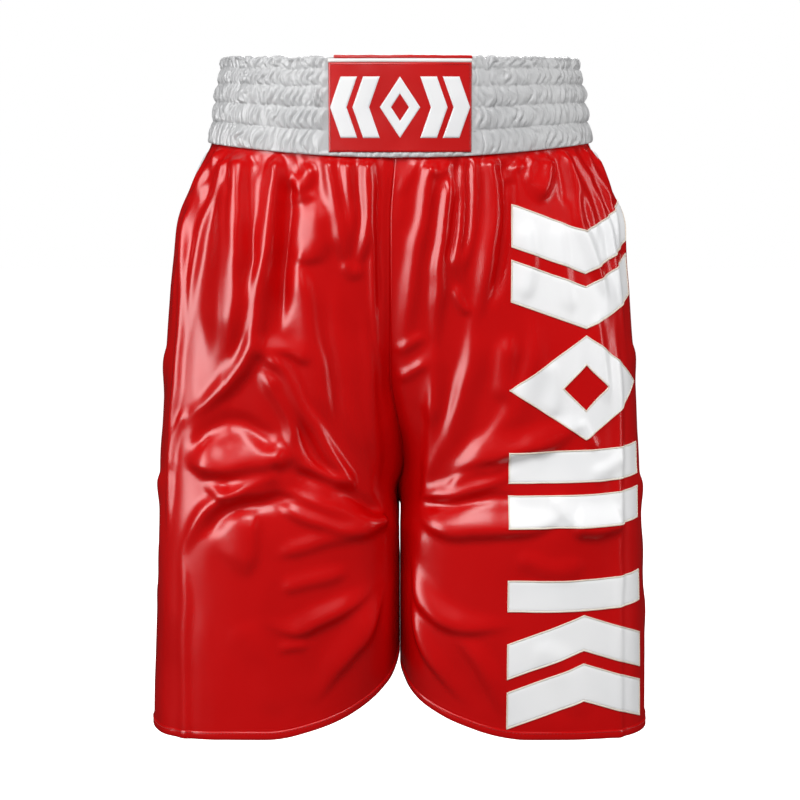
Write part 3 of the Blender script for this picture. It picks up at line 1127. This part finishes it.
def side_stripes():
    for side in (LEFT, RIGHT):
        surface = on_skin(side, 0.1)
        t = np.linspace(0, 1, 300)[:, None]
        a = np.linspace(-1, 1, 34)[None, :]
        top = seam_z(210.0)
        z = top + 1.0 + (HEM_LOW + 1.5 - top) * t + 0 * a
        _, high = SKINS[side, True].limits(z)
        q = high + STRIPE_BEHIND + a * STRIPE_HALF
        outer, inner = raised_grids(surface, q, z, 0.6, (1 - np.abs(a)) * STRIPE_HALF, 0.8)
        name = SIDE_NAME[side]
        uv = np.stack([q * MM, z * MM], -1)
        obj = thick_grid(f"outseam_stripe_{name}", outer, inner, WHITE, uv, flip=side == LEFT)
        nodes = [f"side_stripe_{name}_upper", f"side_stripe_{name}_leg"]
        pieces.append((obj, ("blend", side), nodes, "stripe_satin"))


leg_shapes()
side_stripes()


def settle():
    for obj, (how, what), nodes, slot in pieces:
        if how == "blend":
            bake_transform(obj)
        else:
            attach(obj, what)
        if nodes:
            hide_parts(*nodes)


# ---- stage ----------------------------------------------------------------------------------
def area_light(name, place, target, size, power_w, colour=(1, 1, 1)):
    light = bpy.data.lights.new(name, "AREA")
    light.shape = "RECTANGLE"
    light.size, light.size_y = size
    light.energy = power_w
    light.color = colour
    obj = bpy.data.objects.new(name, light)
    obj.location = place
    obj.rotation_euler = (Vector(target) - Vector(place)).to_track_quat("-Z", "Y").to_euler()
    bpy.context.scene.collection.objects.link(obj)
    return obj


def stage():
    mesh = bpy.data.meshes.new("floor")
    r, z = 9.0, CAD_BOX[0][2] - 0.34  # metres
    mesh.from_pydata([(-r, -r, z), (r, -r, z), (r, r, z), (-r, r, z)], [], [(0, 1, 2, 3)])
    floor = bpy.data.objects.new("floor", mesh)
    bpy.context.scene.collection.objects.link(floor)
    pale = bpy.data.materials.new("pale_floor")
    pale.use_nodes = True
    set_inputs(pale.node_tree.nodes["Principled BSDF"], Base_Color=(0.93, 0.93, 0.93, 1), Roughness=0.9,
               Emission_Color=(1, 1, 1, 1), Emission_Strength=0.78, Specular_IOR_Level=0.0)
    mesh.materials.append(pale)
    floor.visible_glossy = floor.visible_diffuse = False
    world = bpy.data.worlds.new("studio")
    bpy.context.scene.world = world
    world.use_nodes = True
    nodes, links = world.node_tree.nodes, world.node_tree.links
    ray = nodes.new("ShaderNodeLightPath")
    soft = set_inputs(nodes.new("ShaderNodeMapRange"), To_Min=0.015, To_Max=0.27)
    links.new(ray.outputs["Is Diffuse Ray"], soft.inputs["Value"])
    shade = set_inputs(nodes.new("ShaderNodeMapRange"), To_Max=1.0)
    links.new(ray.outputs["Is Camera Ray"], shade.inputs["Value"])
    links.new(soft.outputs["Result"], shade.inputs["To Min"])
    links.new(shade.outputs["Result"], nodes["Background"].inputs["Strength"])
    set_inputs(nodes["Background"], Color=(1, 1, 1, 1))
    centre = (0, 0, -0.3)
    area_light("key_top", (-0.5, -1.5, 1.5), centre, (1.1, 0.6), 20)
    area_light("left_box", (-1.9, -0.95, 0.15), centre, (1.1, 1.7), 14)
    gloss = area_light("left_gloss", (-1.9, -0.95, 0.2), centre, (1.2, 1.9), 30)
    gloss.visible_diffuse = False
    fill = area_light("right_fill", (1.9, -1.7, 0.9), centre, (1.0, 1.4), 16)
    fill.visible_glossy = False
    area_light("right_box", (2.2, -0.3, 0.2), centre, (0.3, 1.7), 10)
    area_light("back_box", (0.4, 2.0, 1.2), centre, (1.4, 0.9), 40)
    wash = area_light("front_wash", (-0.5, -2.5, 1.3), centre, (1.4, 1.2), 31)
    wash.visible_glossy = False
    scene = bpy.context.scene
    scene.view_settings.view_transform = "Standard"


def camera():
    elevation, distance, target_z = math.radians(9), 1.700, -0.3135
    data = bpy.data.cameras.new("camera")
    data.sensor_width = 36
    data.lens = 81.45
    cam = bpy.data.objects.new("camera", data)
    target = Vector((0, 0, target_z))
    cam.location = target + distance * Vector((0, -math.cos(elevation), math.sin(elevation)))
    cam.rotation_euler = (target - cam.location).to_track_quat("-Z", "Y").to_euler()
    bpy.context.scene.collection.objects.link(cam)
    bpy.context.scene.camera = cam


camera()
stage()
settle()
